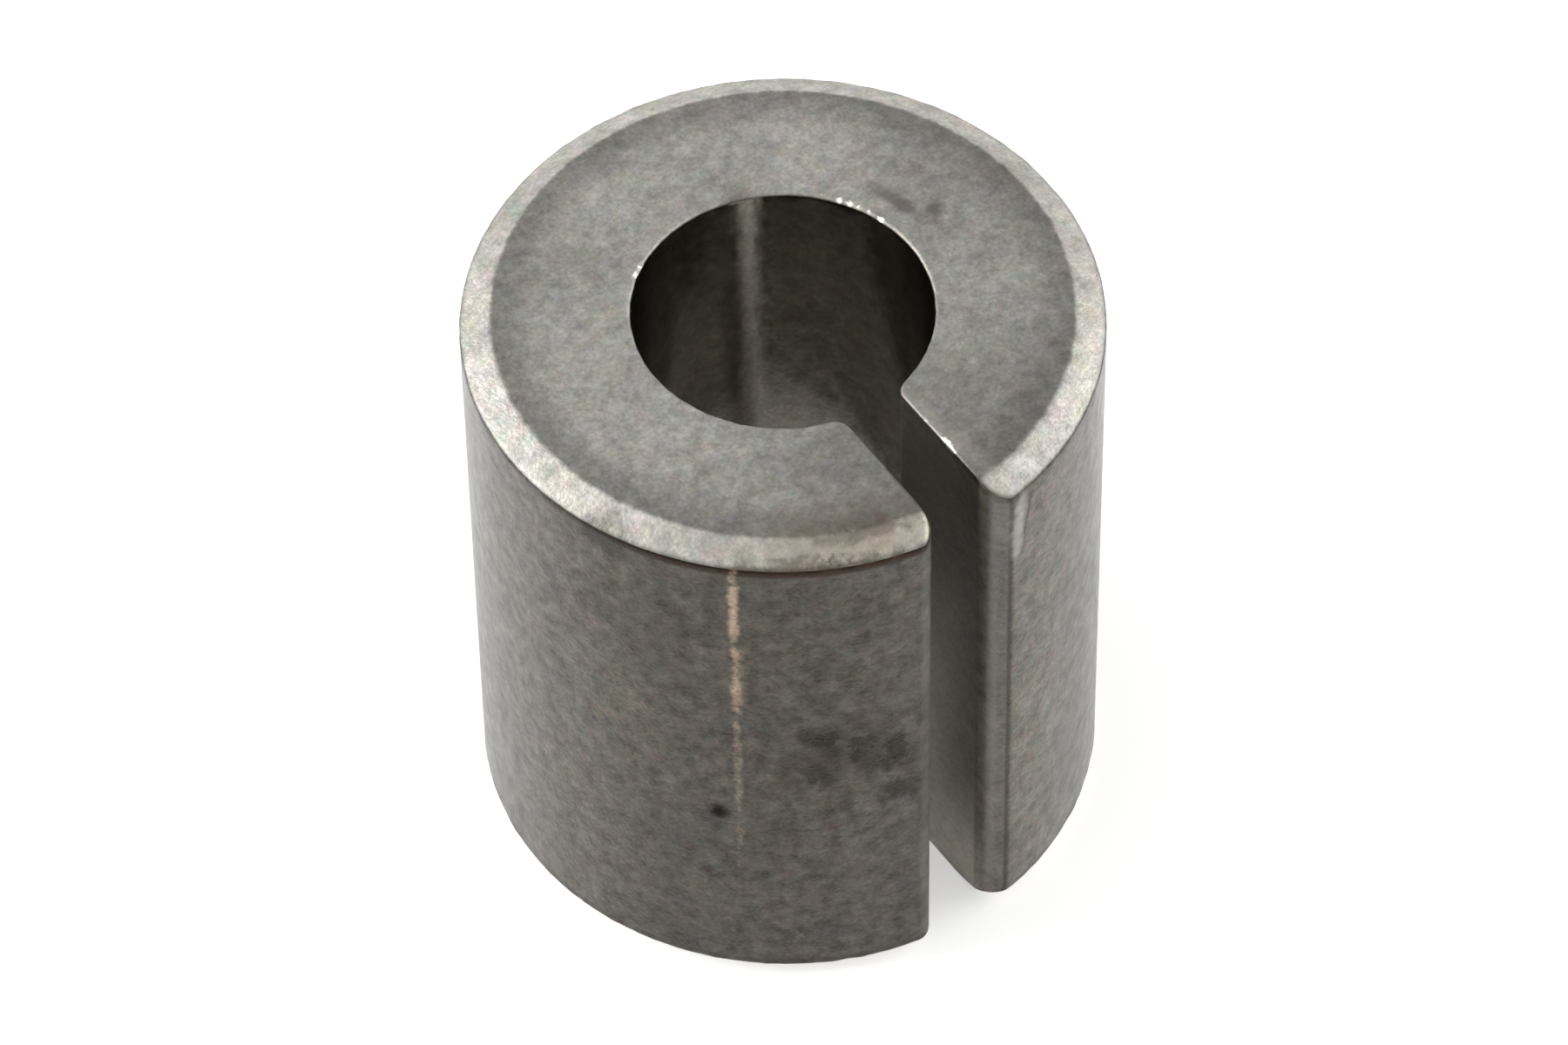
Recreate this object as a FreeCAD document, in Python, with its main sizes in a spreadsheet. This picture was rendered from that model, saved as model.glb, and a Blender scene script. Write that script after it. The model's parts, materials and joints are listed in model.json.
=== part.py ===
import FreeCAD, Part
import math
import os
import Sketcher
from FreeCAD import Vector

# A split bushing: one thick-walled steel ring, slit along its whole length, standing on its end.
# Units are millimetres. The origin is on the axis at the bottom face, +Z runs up the bore,
# and the slit faces -Y, so the plane X = 0 parts the ring into two like halves.

SIZES = [
    ("outer_diameter", 17.0, "outside of the ring"),
    ("bore_diameter", 8.0, "through bore"),
    ("body_length", 18.0, "end face to end face"),
    ("slit_width", 1.7, "gap between the two jaw faces"),
    ("end_chamfer_width", 0.85, "outer end chamfer, across the end face"),
    ("end_chamfer_height", 0.4, "outer end chamfer, along the length"),
    ("mouth_corner_radius", 0.75, "round of each jaw face's outer corner"),
    ("mouth_corner_spread", 0.55, "that round's width, jaw face to outside"),
    ("bore_corner_radius", 0.5, "round where each jaw face meets the bore"),
    ("edge_break", 0.12, "small chamfer round the bore and slit, both ends"),
]

CLOSE = 1e-4


def start_of(line):
    """The first point of a sketch's line, the way a constraint names it."""
    return (line, 1)


def end_of(line):
    return (line, 2)


def centre_of(circle):
    return (circle, 3)


def x_axis():
    """A sketch counts its own two axes as its geometry -1 and -2."""
    return -1


def y_axis():
    return -2


def origin():
    return start_of(x_axis())


def make_sheet(doc):
    """Writes the driving sizes as plain numbers, each cell with its alias."""
    sheet = doc.addObject("Spreadsheet::Sheet", "Sizes")
    for row, (alias, value, note) in enumerate(SIZES, start=1):
        sheet.set(f"A{row}", alias)
        sheet.set(f"B{row}", str(value))
        sheet.set(f"C{row}", note)
        sheet.setAlias(f"B{row}", alias)
    doc.recompute()
    return sheet


def origin_plane(body, role):
    """One of the body's own origin planes, found by its role."""
    return next(f for f in body.Origin.OriginFeatures if f.Role == role)


def new_sketch(body, name, role):
    sketch = body.newObject("Sketcher::SketchObject", name)
    sketch.AttachmentSupport = (origin_plane(body, role), "")
    sketch.MapMode = "FlatFace"
    return sketch


def join(sketch, first, second):
    sketch.addConstraint(Sketcher.Constraint("Coincident", *first, *second))


def add_line(sketch, first, second):
    return sketch.addGeometry(Part.LineSegment(first, second), False)


def add_polygon(sketch, points):
    """Draws a closed run of lines, joined end to end."""
    count = len(points)
    for i in range(count):
        add_line(sketch, points[i], points[(i + 1) % count])
    for i in range(count):
        join(sketch, end_of(i), start_of((i + 1) % count))


def add_arc(sketch, centre, radius, first_angle, last_angle):
    """Draws part of a circle, anticlockwise, between angles in radians."""
    circle = Part.Circle(centre, Vector(0, 0, 1), radius)
    return sketch.addGeometry(Part.ArcOfCircle(circle, first_angle, last_angle), False)


def add_dimension(sketch, kind, first, second, value, size):
    """Adds a distance between two points and binds it to the sheet."""
    index = sketch.addConstraint(Sketcher.Constraint(kind, *first, *second, value))
    sketch.setExpression(f"Constraints[{index}]", size)
    return index


def ring_section(body, sheet):
    """Half of the ring's section, from the bore out to the chamfered outside."""
    sketch = new_sketch(body, "RingSection", "XZ_Plane")
    bore = sheet.bore_diameter / 2
    outside = sheet.outer_diameter / 2
    face = outside - sheet.end_chamfer_width
    top = sheet.body_length
    rise = sheet.end_chamfer_height
    add_polygon(sketch, [
        Vector(bore, 0, 0),
        Vector(face, 0, 0),
        Vector(outside, rise, 0),
        Vector(outside, top - rise, 0),
        Vector(face, top, 0),
        Vector(bore, top, 0),
    ])
    bottom_face, low_chamfer, wall, high_chamfer, top_face, bore_wall = range(6)
    for line in (bottom_face, top_face):
        sketch.addConstraint(Sketcher.Constraint("Horizontal", line))
    for line in (wall, bore_wall):
        sketch.addConstraint(Sketcher.Constraint("Vertical", line))
    sketch.addConstraint(
        Sketcher.Constraint("PointOnObject", *start_of(bottom_face), x_axis())
    )
    bore_end = start_of(bottom_face)
    add_dimension(sketch, "DistanceX", origin(), bore_end, bore, "Sizes.bore_diameter / 2")
    add_dimension(sketch, "DistanceX", origin(), start_of(wall), outside, "Sizes.outer_diameter / 2")
    add_dimension(sketch, "DistanceY", origin(), start_of(top_face), top, "Sizes.body_length")
    width = sheet.end_chamfer_width
    low = (start_of(low_chamfer), end_of(low_chamfer))
    high = (start_of(high_chamfer), end_of(high_chamfer))
    add_dimension(sketch, "DistanceX", *low, width, "Sizes.end_chamfer_width")
    add_dimension(sketch, "DistanceX", *reversed(high), width, "Sizes.end_chamfer_width")
    add_dimension(sketch, "DistanceY", *low, rise, "Sizes.end_chamfer_height")
    add_dimension(sketch, "DistanceY", *high, rise, "Sizes.end_chamfer_height")
    return sketch


def turn_ring(body, section):
    ring = body.newObject("PartDesign::Revolution", "Ring")
    ring.Profile = section
    ring.ReferenceAxis = (section, ["V_Axis"])
    ring.Angle = 360
    section.Visibility = False
    return ring


def slit_outline(body, sheet):
    """Plan of the slit: parallel jaw faces from the bore out, each ending in a round corner."""
    sketch = new_sketch(body, "SlitOutline", "XY_Plane")
    outside = sheet.outer_diameter / 2
    half = sheet.slit_width / 2
    radius = sheet.mouth_corner_radius
    spread = sheet.mouth_corner_spread
    mouth = half + spread
    rim_y = -((outside**2 - mouth**2) ** 0.5)
    jaw_y = rim_y + (2 * spread * radius - spread**2) ** 0.5
    past_y = -sheet.outer_diameter
    turn = math.atan2(jaw_y - rim_y, radius - spread)
    inner_end = add_line(sketch, Vector(-half, 0, 0), Vector(half, 0, 0))
    right_jaw = add_line(sketch, Vector(half, 0, 0), Vector(half, jaw_y, 0))
    right_centre = Vector(half + radius, jaw_y, 0)
    right_corner = add_arc(sketch, right_centre, radius, math.pi, math.pi + turn)
    right_side = add_line(sketch, Vector(mouth, rim_y, 0), Vector(mouth, past_y, 0))
    outer_end = add_line(sketch, Vector(mouth, past_y, 0), Vector(-mouth, past_y, 0))
    left_side = add_line(sketch, Vector(-mouth, past_y, 0), Vector(-mouth, rim_y, 0))
    left_centre = Vector(-half - radius, jaw_y, 0)
    left_corner = add_arc(sketch, left_centre, radius, -turn, 0)
    left_jaw = add_line(sketch, Vector(-half, jaw_y, 0), Vector(-half, 0, 0))
    ring_circle = sketch.addGeometry(Part.Circle(Vector(0, 0, 0), Vector(0, 0, 1), outside), True)
    for first, second in (
        (end_of(inner_end), start_of(right_jaw)),
        (end_of(right_corner), start_of(right_side)),
        (end_of(right_side), start_of(outer_end)),
        (end_of(outer_end), start_of(left_side)),
        (end_of(left_side), start_of(left_corner)),
        (end_of(left_jaw), start_of(inner_end)),
        (centre_of(ring_circle), origin()),
    ):
        join(sketch, first, second)
    for line_end, arc_end in (
        (end_of(right_jaw), start_of(right_corner)),
        (start_of(left_jaw), end_of(left_corner)),
    ):
        sketch.addConstraint(Sketcher.Constraint("Tangent", *line_end, *arc_end))
    sketch.addConstraint(Sketcher.Constraint("Horizontal", outer_end))
    for line in (right_jaw, right_side, left_side):
        sketch.addConstraint(Sketcher.Constraint("Vertical", line))
    for first, second in (
        (start_of(inner_end), end_of(inner_end)),
        (start_of(left_jaw), end_of(right_jaw)),
        (start_of(left_corner), end_of(right_corner)),
    ):
        sketch.addConstraint(Sketcher.Constraint("Symmetric", *first, *second, y_axis()))
    for point, line in (
        (start_of(inner_end), x_axis()),
        (end_of(right_corner), ring_circle),
    ):
        sketch.addConstraint(Sketcher.Constraint("PointOnObject", *point, line))
    for kind, curve, value, size in (
        ("Diameter", ring_circle, 2 * outside, "outer_diameter"),
        ("Radius", right_corner, radius, "mouth_corner_radius"),
    ):
        index = sketch.addConstraint(Sketcher.Constraint(kind, curve, value))
        sketch.setExpression(f"Constraints[{index}]", f"Sizes.{size}")
    for kind, first, second, size in (
        ("DistanceX", start_of(inner_end), end_of(inner_end), "slit_width"),
        ("DistanceX", end_of(right_jaw), end_of(right_corner), "mouth_corner_spread"),
        ("DistanceY", start_of(outer_end), origin(), "outer_diameter"),
    ):
        add_dimension(sketch, kind, first, second, sheet.get(size), f"Sizes.{size}")
    return sketch


def cut_slit(body, outline):
    """Cuts upwards from the bottom face, so the pocket runs against its sketch's normal."""
    slit = body.newObject("PartDesign::Pocket", "Slit")
    slit.Profile = outline
    slit.Type = "ThroughAll"
    slit.Reversed = True
    outline.Visibility = False
    return slit


def edge_names(feature, wanted):
    """Names of the feature's edges that the test picks."""
    return [
        f"Edge{i}" for i, edge in enumerate(feature.Shape.Edges, start=1) if wanted(edge)
    ]


def is_bore_corner(sheet):
    """Tests for the upright edges where the jaw faces run into the bore."""
    bore = sheet.bore_diameter / 2

    def test(edge):
        ends = [v.Point for v in edge.Vertexes]
        if len(ends) != 2 or abs(ends[0].z - ends[1].z) < sheet.body_length / 2:
            return False
        on_bore = all(abs((p.x**2 + p.y**2) ** 0.5 - bore) < CLOSE for p in ends)
        return on_bore and all(abs(abs(p.x) - sheet.slit_width / 2) < CLOSE for p in ends)

    return test


def is_opening_edge(sheet):
    """Tests for the end-face edges that run round the bore and along the jaw faces."""
    face = sheet.outer_diameter / 2 - sheet.end_chamfer_width

    def test(edge):
        box = edge.BoundBox
        level = box.ZMax - box.ZMin < CLOSE
        at_end = min(abs(box.ZMin), abs(box.ZMin - sheet.body_length)) < CLOSE
        first, last = edge.ParameterRange
        middle = edge.valueAt((first + last) / 2)
        inside = (middle.x**2 + middle.y**2) ** 0.5 < face - CLOSE
        return level and at_end and inside

    return test


def round_bore_corners(body, sheet, slit):
    corners = body.newObject("PartDesign::Fillet", "BoreCorners")
    corners.Base = (slit, edge_names(slit, is_bore_corner(sheet)))
    corners.setExpression("Radius", "Sizes.bore_corner_radius")
    return corners


def break_end_edges(body, sheet, corners):
    edges = body.newObject("PartDesign::Chamfer", "EdgeBreaks")
    edges.Base = (corners, edge_names(corners, is_opening_edge(sheet)))
    edges.setExpression("Size", "Sizes.edge_break")
    return edges


def check_document(doc):
    """Stops if any object of the document was left failed."""
    failed = [o.Name for o in doc.Objects if {"Invalid", "Error"} & set(o.State)]
    if failed:
        raise RuntimeError(f"these objects failed: {failed}")


def check_cut(before, after):
    """Stops if a feature that takes metal away took none."""
    if after.Shape.Volume > before.Shape.Volume - CLOSE:
        raise RuntimeError(f"{after.Name} cut nothing from {before.Name}")


def build_bushing(doc, sheet):
    body = doc.addObject("PartDesign::Body", "SplitBushing")
    body.Label = "split_bushing"
    ring = turn_ring(body, ring_section(body, sheet))
    doc.recompute()
    slit = cut_slit(body, slit_outline(body, sheet))
    doc.recompute()
    check_cut(ring, slit)
    corners = round_bore_corners(body, sheet, slit)
    doc.recompute()
    check_cut(slit, corners)
    edges = break_end_edges(body, sheet, corners)
    doc.recompute()
    check_cut(corners, edges)
    body.Tip = edges
    doc.recompute()
    return body


def write_parts(bodies):
    os.makedirs("parts", exist_ok=True)
    for body in bodies:
        shape = body.Shape
        if shape.isNull() or not shape.isValid() or len(shape.Solids) != 1:
            raise RuntimeError(f"{body.Label} is not one sound solid")
        shape.exportStep(f"parts/{body.Label}.step")
        print(body.Label, "volume", round(shape.Volume, 2), "mm3")


def main():
    doc = FreeCAD.newDocument("Bushing")
    sheet = make_sheet(doc)
    body = build_bushing(doc, sheet)
    check_document(doc)
    write_parts([body])


main()
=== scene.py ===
import json
import math

import bpy
from mathutils import Matrix, Vector


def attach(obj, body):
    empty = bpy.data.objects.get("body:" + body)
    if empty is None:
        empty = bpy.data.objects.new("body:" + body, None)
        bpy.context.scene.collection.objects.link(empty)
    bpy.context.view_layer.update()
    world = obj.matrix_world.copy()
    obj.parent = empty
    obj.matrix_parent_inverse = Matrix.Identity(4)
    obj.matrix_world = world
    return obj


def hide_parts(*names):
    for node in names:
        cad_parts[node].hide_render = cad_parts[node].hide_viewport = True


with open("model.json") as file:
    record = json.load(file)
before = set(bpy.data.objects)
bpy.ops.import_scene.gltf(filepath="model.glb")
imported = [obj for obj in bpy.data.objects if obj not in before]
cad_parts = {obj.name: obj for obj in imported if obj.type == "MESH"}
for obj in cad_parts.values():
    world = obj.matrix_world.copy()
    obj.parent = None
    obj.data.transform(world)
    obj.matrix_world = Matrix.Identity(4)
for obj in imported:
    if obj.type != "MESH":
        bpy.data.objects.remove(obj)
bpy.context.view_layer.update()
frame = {"nodes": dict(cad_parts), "record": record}
mounts = {m["name"]: m for m in frame["record"]["mounts"]}
mm = 0.001               # sizes below are in millimetres, Blender's are in metres
print("frame loaded:", sorted(frame["nodes"]))


def addNode(tree, kind, *inputs, named=None, output=0, **settings):
    # adds one node, sets or links its inputs by place or by name, and gives one of its outputs
    node = tree.nodes.new(kind)
    for key, value in settings.items():
        setattr(node, key, value)
    for key, value in [*enumerate(inputs), *(named or {}).items()]:
        if isinstance(value, bpy.types.NodeSocket):
            tree.links.new(value, node.inputs[key])
        elif value is not None:
            node.inputs[key].default_value = value
    return node.outputs[output] if node.outputs else node


def hexColour(text):
    # sRGB hex to the linear colour that a shader socket takes
    channels = [int(text[i:i + 2], 16) / 255 for i in (0, 2, 4)]
    return (*(c / 12.92 if c <= 0.04045 else ((c + 0.055) / 1.055) ** 2.4 for c in channels), 1)


# The ring is a straight square bar bent round until its ends nearly meet. Its edge rounding is worked
# out on the straight bar, and the end chamfers and the slit's round corners come with the bend.

ring = {
    "boreRadius": mounts["bore"]["dims"]["r_mm"],
    "outerRadius": mounts["outside"]["dims"]["r_mm"],
    "length": mounts["top"]["pos_m"][2] / mm,
    "slitWidth": 1.7,
    "chamferWidth": 0.85,       # across the end face
    "chamferHeight": 0.4,       # along the length
    "mouthCorner": 0.75,        # round between jaw face and outside
    "mouthSpread": 0.55,        # its width, from the jaw face to where it meets the outside
    "boreCorner": 0.5,          # round between jaw face and bore
    "edgeRound": 0.11,          # worn edges
    "edgeWear": 0.5,            # how much that varies along an edge
    "creaseSoftness": 0.09,     # how gently an end face turns into its chamfer
    "rowsAround": 300,
    "rowsAcross": 40,
    "rowsUp": 100,
    "seed": 4.0,
}

# where the rows of the grid lie: share of the rows, share of the way
rowShares = {
    "around": [(0.022, 0.0026), (0.978, 0.9974)],
    "across": [(0.16, 0.07), (0.5, 0.79), (0.62, 0.84), (0.9, 0.973)],
    "up": [(0.046, 0.0072), (0.954, 0.9928)],
}

# where edges are worn rounder than elsewhere: place, reach, extra radius (all mm)
wornEdges = [
    {"at": (3.92, 1.50, 18.0), "reach": 2.2, "extra": 0.03},
    {"at": (-2.35, 3.35, 18.0), "reach": 0.6, "extra": 0.10},
    {"at": (0.9, -8.0, 17.9), "reach": 1.0, "extra": 0.12},
    {"at": (-0.9, -8.0, 17.9), "reach": 1.0, "extra": 0.12},
    {"at": (0.9, -8.0, 0.1), "reach": 1.2, "extra": 0.2},
    {"at": (-0.9, -8.0, 0.1), "reach": 1.2, "extra": 0.1},
]

# burrs and one pit: place on the ring, reach from its middle, height (all mm), and how much bare metal
# shows, painted nearly white as a glint, 0 to 1. Known fault: the ring's faces point inwards, so these
# heights act
# the wrong way round: the burrs are small dents and the pit is a small bump.
markSpots = [
    {"at": (3.11, 2.65, 17.96), "reach": 0.09, "lift": 0.02, "bare": 0.6},
    {"at": (3.43, 2.27, 17.95), "reach": 0.13, "lift": 0.03, "bare": 0.9},
    {"at": (3.57, 2.00, 17.95), "reach": 0.14, "lift": 0.03, "bare": 0.9},
    {"at": (3.68, 1.78, 17.95), "reach": 0.10, "lift": 0.02, "bare": 0.7},
    {"at": (3.79, 1.50, 17.95), "reach": 0.10, "lift": 0.02, "bare": 0.6},
    {"at": (3.92, 1.10, 17.95), "reach": 0.13, "lift": 0.03, "bare": 0.9},
    {"at": (-2.46, 3.21, 17.95), "reach": 0.13, "lift": 0.04, "bare": 0.9},
    {"at": (-2.20, 3.40, 17.95), "reach": 0.10, "lift": 0.03, "bare": 0.6},
    {"at": (0.88, -5.20, 17.96), "reach": 0.09, "lift": 0.01, "bare": 0.6},
    {"at": (0.88, -6.00, 17.96), "reach": 0.12, "lift": 0.02, "bare": 0.8},
    {"at": (0.88, -6.15, 17.96), "reach": 0.14, "lift": 0.03, "bare": 1.0},
    {"at": (0.88, -6.32, 17.96), "reach": 0.14, "lift": 0.03, "bare": 1.0},
    {"at": (0.88, -6.48, 17.96), "reach": 0.12, "lift": 0.02, "bare": 0.9},
    {"at": (0.88, -6.98, 17.96), "reach": 0.09, "lift": 0.02, "bare": 0.6},
    {"at": (-6.22, -5.80, 7.11), "reach": 0.22, "lift": -0.12, "bare": 0.0},
]


def bentBarTree(steel):
    tree = bpy.data.node_groups.new("bentBar", "GeometryNodeTree")
    face = tree.interface
    for name in ("Outer radius", "Bore radius", "Length", "Slit width", "Chamfer width", "Chamfer height",
                 "Mouth corner", "Mouth spread", "Bore corner", "Edge round", "Edge wear", "Crease softness",
                 "Seed"):
        face.new_socket(name, in_out="INPUT", socket_type="NodeSocketFloat")
    for name in ("Rows around", "Rows across", "Rows up"):
        face.new_socket(name, in_out="INPUT", socket_type="NodeSocketInt")
    face.new_socket("Steel", in_out="INPUT", socket_type="NodeSocketMaterial")
    face.new_socket("Ring", in_out="OUTPUT", socket_type="NodeSocketGeometry")
    size = addNode(tree, "NodeGroupInput").node.outputs
    outer, bore, length = size["Outer radius"], size["Bore radius"], size["Length"]
    wall = addNode(tree, "ShaderNodeMath", outer, bore, operation="SUBTRACT")
    halfSlit = addNode(tree, "ShaderNodeMath", size["Slit width"], 2.0, operation="DIVIDE")

    # the straight bar: a box of rows, each direction from 0 to 1, closer together at the edges
    box = addNode(tree, "GeometryNodeMeshCube", (1, 1, 1), size["Rows around"], size["Rows across"],
                  size["Rows up"])
    place = addNode(tree, "ShaderNodeVectorMath", addNode(tree, "GeometryNodeInputPosition"), (0.5, 0.5, 0.5),
                    operation="ADD")
    rows = addNode(tree, "ShaderNodeSeparateXYZ", place).node.outputs
    share = []
    for row, stretch in zip(rows, rowShares.values()):
        spaced = addNode(tree, "ShaderNodeFloatCurve", 1.0, row)
        curve = spaced.node.mapping.curves[0]
        for point in stretch:
            curve.points.new(*point)
        for point in curve.points:
            point.handle_type = "VECTOR"
        spaced.node.mapping.update()
        share.append(spaced)
    around, across, up = share

    # angle from the slit's middle at which a round corner lies, at a given radius: the law of cosines
    # in the triangle of axis, corner centre and point
    def cornerAngle(radius, centreX, centreY, cornerRadius):
        centre = addNode(tree, "ShaderNodeCombineXYZ", centreX, centreY, 0.0)
        centreAt = addNode(tree, "ShaderNodeVectorMath", centre, operation="LENGTH", output=1)
        lean = addNode(tree, "ShaderNodeMath", centreX, centreY, operation="ARCTAN2")
        squares = addNode(tree, "ShaderNodeMath", radius, radius, operation="MULTIPLY")
        squares = addNode(tree, "ShaderNodeMath", centreAt, centreAt, squares, operation="MULTIPLY_ADD")
        less = addNode(tree, "ShaderNodeMath", cornerRadius, cornerRadius, operation="MULTIPLY")
        squares = addNode(tree, "ShaderNodeMath", squares, less, operation="SUBTRACT")
        double = addNode(tree, "ShaderNodeMath", centreAt, radius, operation="MULTIPLY")
        double = addNode(tree, "ShaderNodeMath", double, 2.0, operation="MULTIPLY")
        ratio = addNode(tree, "ShaderNodeMath", squares, double, operation="DIVIDE")
        ratio = addNode(tree, "ShaderNodeMath", ratio, 1.0, operation="MINIMUM")
        turn = addNode(tree, "ShaderNodeMath", ratio, operation="ARCCOSINE")
        return addNode(tree, "ShaderNodeMath", lean, turn, operation="SUBTRACT")

    def legOf(longSide, otherLeg):
        # the other short side of a right-angled triangle
        square = addNode(tree, "ShaderNodeMath", longSide, longSide, operation="MULTIPLY")
        other = addNode(tree, "ShaderNodeMath", otherLeg, otherLeg, operation="MULTIPLY")
        square = addNode(tree, "ShaderNodeMath", square, other, operation="SUBTRACT")
        return addNode(tree, "ShaderNodeMath", square, operation="SQRT")

    # where the round corners begin on the jaw faces, measured from the axis along the slit
    boreCentreX = addNode(tree, "ShaderNodeMath", halfSlit, size["Bore corner"], operation="ADD")
    boreCentreY = legOf(addNode(tree, "ShaderNodeMath", bore, size["Bore corner"], operation="ADD"),
                        boreCentreX)
    mouthCentreX = addNode(tree, "ShaderNodeMath", halfSlit, size["Mouth corner"], operation="ADD")
    rimX = addNode(tree, "ShaderNodeMath", halfSlit, size["Mouth spread"], operation="ADD")
    inward = addNode(tree, "ShaderNodeMath", size["Mouth corner"], size["Mouth spread"], operation="SUBTRACT")
    mouthCentreY = addNode(tree, "ShaderNodeMath", legOf(outer, rimX), legOf(size["Mouth corner"], inward),
                           operation="SUBTRACT")

    # half the slit's angle at a given radius: parallel jaw faces with a round corner at either end
    def slitAngle(radius):
        sine = addNode(tree, "ShaderNodeMath", halfSlit, radius, operation="DIVIDE")
        angle = addNode(tree, "ShaderNodeMath", sine, operation="ARCSINE")
        atBore = addNode(tree, "ShaderNodeMath", radius, jawFrom, operation="LESS_THAN")
        atMouth = addNode(tree, "ShaderNodeMath", radius, jawTo, operation="GREATER_THAN")
        rounded = cornerAngle(radius, boreCentreX, boreCentreY, size["Bore corner"])
        angle = addNode(tree, "ShaderNodeMix", named={0: atBore, 2: angle, 3: rounded})
        rounded = cornerAngle(radius, mouthCentreX, mouthCentreY, size["Mouth corner"])
        return addNode(tree, "ShaderNodeMix", named={0: atMouth, 2: angle, 3: rounded})

    jawEnds = []
    for centreY in (boreCentreY, mouthCentreY):
        jawEnd = addNode(tree, "ShaderNodeCombineXYZ", halfSlit, centreY, 0.0)
        jawEnds.append(addNode(tree, "ShaderNodeVectorMath", jawEnd, operation="LENGTH", output=1))
    jawFrom, jawTo = jawEnds

    def bend(barPoint):
        along, depth, height = addNode(tree, "ShaderNodeSeparateXYZ", barPoint).node.outputs
        radius = addNode(tree, "ShaderNodeMath", depth, bore, operation="ADD")
        # the end chamfers squeeze the height towards the outside
        flatRadius = addNode(tree, "ShaderNodeMath", outer, size["Chamfer width"], operation="SUBTRACT")
        past = addNode(tree, "ShaderNodeMath", radius, flatRadius, operation="SUBTRACT")
        soft = addNode(tree, "ShaderNodeCombineXYZ", past, size["Crease softness"], 0.0)
        soft = addNode(tree, "ShaderNodeVectorMath", soft, operation="LENGTH", output=1)
        past = addNode(tree, "ShaderNodeMath", past, soft, operation="ADD")
        slope = addNode(tree, "ShaderNodeMath", size["Chamfer height"], size["Chamfer width"],
                        operation="DIVIDE")
        drop = addNode(tree, "ShaderNodeMath", past, slope, operation="MULTIPLY")
        room = addNode(tree, "ShaderNodeMath", length, drop, operation="SUBTRACT")
        drop = addNode(tree, "ShaderNodeMath", drop, 2.0, operation="DIVIDE")
        upShare = addNode(tree, "ShaderNodeMath", height, length, operation="DIVIDE")
        z = addNode(tree, "ShaderNodeMath", upShare, room, drop, operation="MULTIPLY_ADD")
        # the bar's length is spread over the angle that the slit leaves
        start = slitAngle(radius)
        open = addNode(tree, "ShaderNodeMath", start, -2.0, 2 * math.pi, operation="MULTIPLY_ADD")
        part = addNode(tree, "ShaderNodeMath", along, barLength, operation="DIVIDE")
        angle = addNode(tree, "ShaderNodeMath", part, open, start, operation="MULTIPLY_ADD")
        sine = addNode(tree, "ShaderNodeMath", angle, operation="SINE")
        cosine = addNode(tree, "ShaderNodeMath", angle, operation="COSINE")
        x = addNode(tree, "ShaderNodeMath", sine, radius, operation="MULTIPLY")
        y = addNode(tree, "ShaderNodeMath", cosine, radius, operation="MULTIPLY")
        y = addNode(tree, "ShaderNodeMath", y, -1.0, operation="MULTIPLY")
        return addNode(tree, "ShaderNodeCombineXYZ", x, y, z)

    # real lengths on the straight bar
    depth = addNode(tree, "ShaderNodeMath", across, wall, operation="MULTIPLY")
    radius = addNode(tree, "ShaderNodeMath", depth, bore, operation="ADD")
    open = addNode(tree, "ShaderNodeMath", slitAngle(radius), -2.0, 2 * math.pi, operation="MULTIPLY_ADD")
    barLength = addNode(tree, "ShaderNodeMath", open, radius, operation="MULTIPLY")
    along = addNode(tree, "ShaderNodeMath", around, barLength, operation="MULTIPLY")
    height = addNode(tree, "ShaderNodeMath", up, length, operation="MULTIPLY")
    bar = addNode(tree, "ShaderNodeCombineXYZ", along, depth, height)
    barSize = addNode(tree, "ShaderNodeCombineXYZ", barLength, wall, length)
    sharp = bend(bar)

    # every edge is rounded by a radius that wanders along it and grows where it was knocked
    wander = addNode(tree, "ShaderNodeTexNoise", sharp,
                     named={"Scale": 0.9, "Detail": 3.0, "W": size["Seed"]}, noise_dimensions="4D")
    wander = addNode(tree, "ShaderNodeMath", wander, 0.5, operation="SUBTRACT")
    wander = addNode(tree, "ShaderNodeMath", wander, size["Edge wear"], 1.0, operation="MULTIPLY_ADD")
    edge = addNode(tree, "ShaderNodeMath", wander, size["Edge round"], operation="MULTIPLY")
    for worn in wornEdges:
        away = addNode(tree, "ShaderNodeVectorMath", sharp, worn["at"], operation="DISTANCE", output=1)
        extra = addNode(tree, "ShaderNodeMapRange", away, 0.0, worn["reach"], worn["extra"], 0.0,
                        interpolation_type="SMOOTHSTEP")
        edge = addNode(tree, "ShaderNodeMath", edge, extra, operation="ADD")
    edges = addNode(tree, "ShaderNodeCombineXYZ", edge, edge, edge)
    core = addNode(tree, "ShaderNodeVectorMath", bar, edges, operation="MAXIMUM")
    farCore = addNode(tree, "ShaderNodeVectorMath", barSize, edges, operation="SUBTRACT")
    core = addNode(tree, "ShaderNodeVectorMath", core, farCore, operation="MINIMUM")
    skin = addNode(tree, "ShaderNodeVectorMath", bar, core, operation="SUBTRACT")
    skin = addNode(tree, "ShaderNodeVectorMath", skin, operation="NORMALIZE")
    skin = addNode(tree, "ShaderNodeVectorMath", skin, named={"Scale": edge}, operation="SCALE")
    bent = bend(addNode(tree, "ShaderNodeVectorMath", core, skin, operation="ADD"))

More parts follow.
